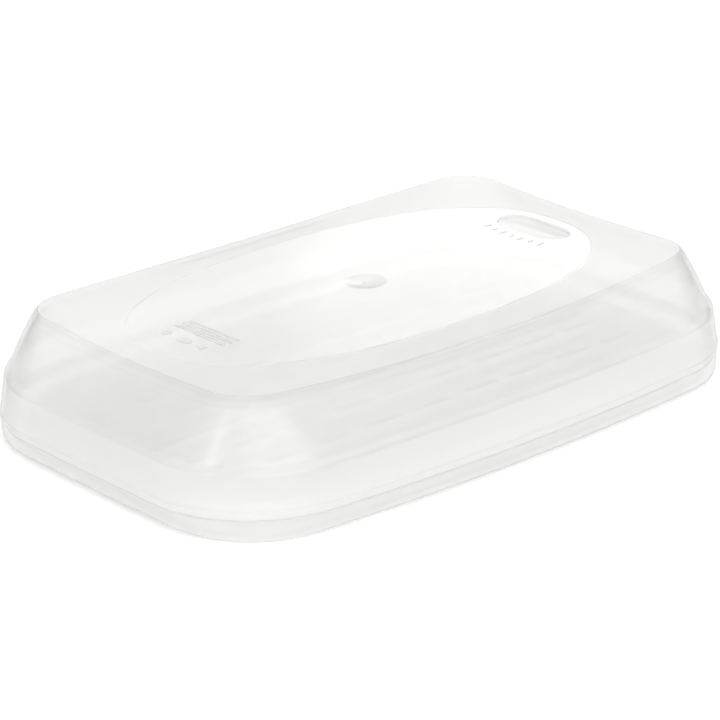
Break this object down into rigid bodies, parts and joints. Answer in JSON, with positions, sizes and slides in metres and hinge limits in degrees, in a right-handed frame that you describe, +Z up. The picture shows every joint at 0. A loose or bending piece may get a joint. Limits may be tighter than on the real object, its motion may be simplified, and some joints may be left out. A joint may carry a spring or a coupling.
{
  "type": "steam steriliser box for baby bottle parts",
  "caption": "Low rectangular frosted box: water tray, perforated rack inside, domed lift-off cover with a steam vent slot near one end.",
  "frame": {"origin": "centre of the footprint, on the surface that the tray stands on", "axes": "+X along the long side towards the vent slot, +Y across, +Z up"},
  "size_m": [0.3, 0.1972, 0.0549],
  "materials": {
    "tray_pp": "natural translucent polypropylene, fine satin texture outside",
    "rack_pp": "natural translucent polypropylene, satin",
    "cover_pp": "natural translucent polypropylene, satin border and walls, polished oval in the top panel"
  },
  "bodies": {
    "tray": {"base_tray": "tray_pp"},
    "rack": {"steam_rack": "rack_pp"},
    "lid": {"cover": "cover_pp"}
  },
  "joints": [
    {"name": "cover_lift", "type": "slide", "parent": "tray", "child": "lid", "axis": [0, 0, 1], "range_m": [0, 0.09]},
    {"name": "rack_lift", "type": "slide", "parent": "tray", "child": "rack", "axis": [0, 0, 1], "range_m": [0, 0.018]}
  ]
}
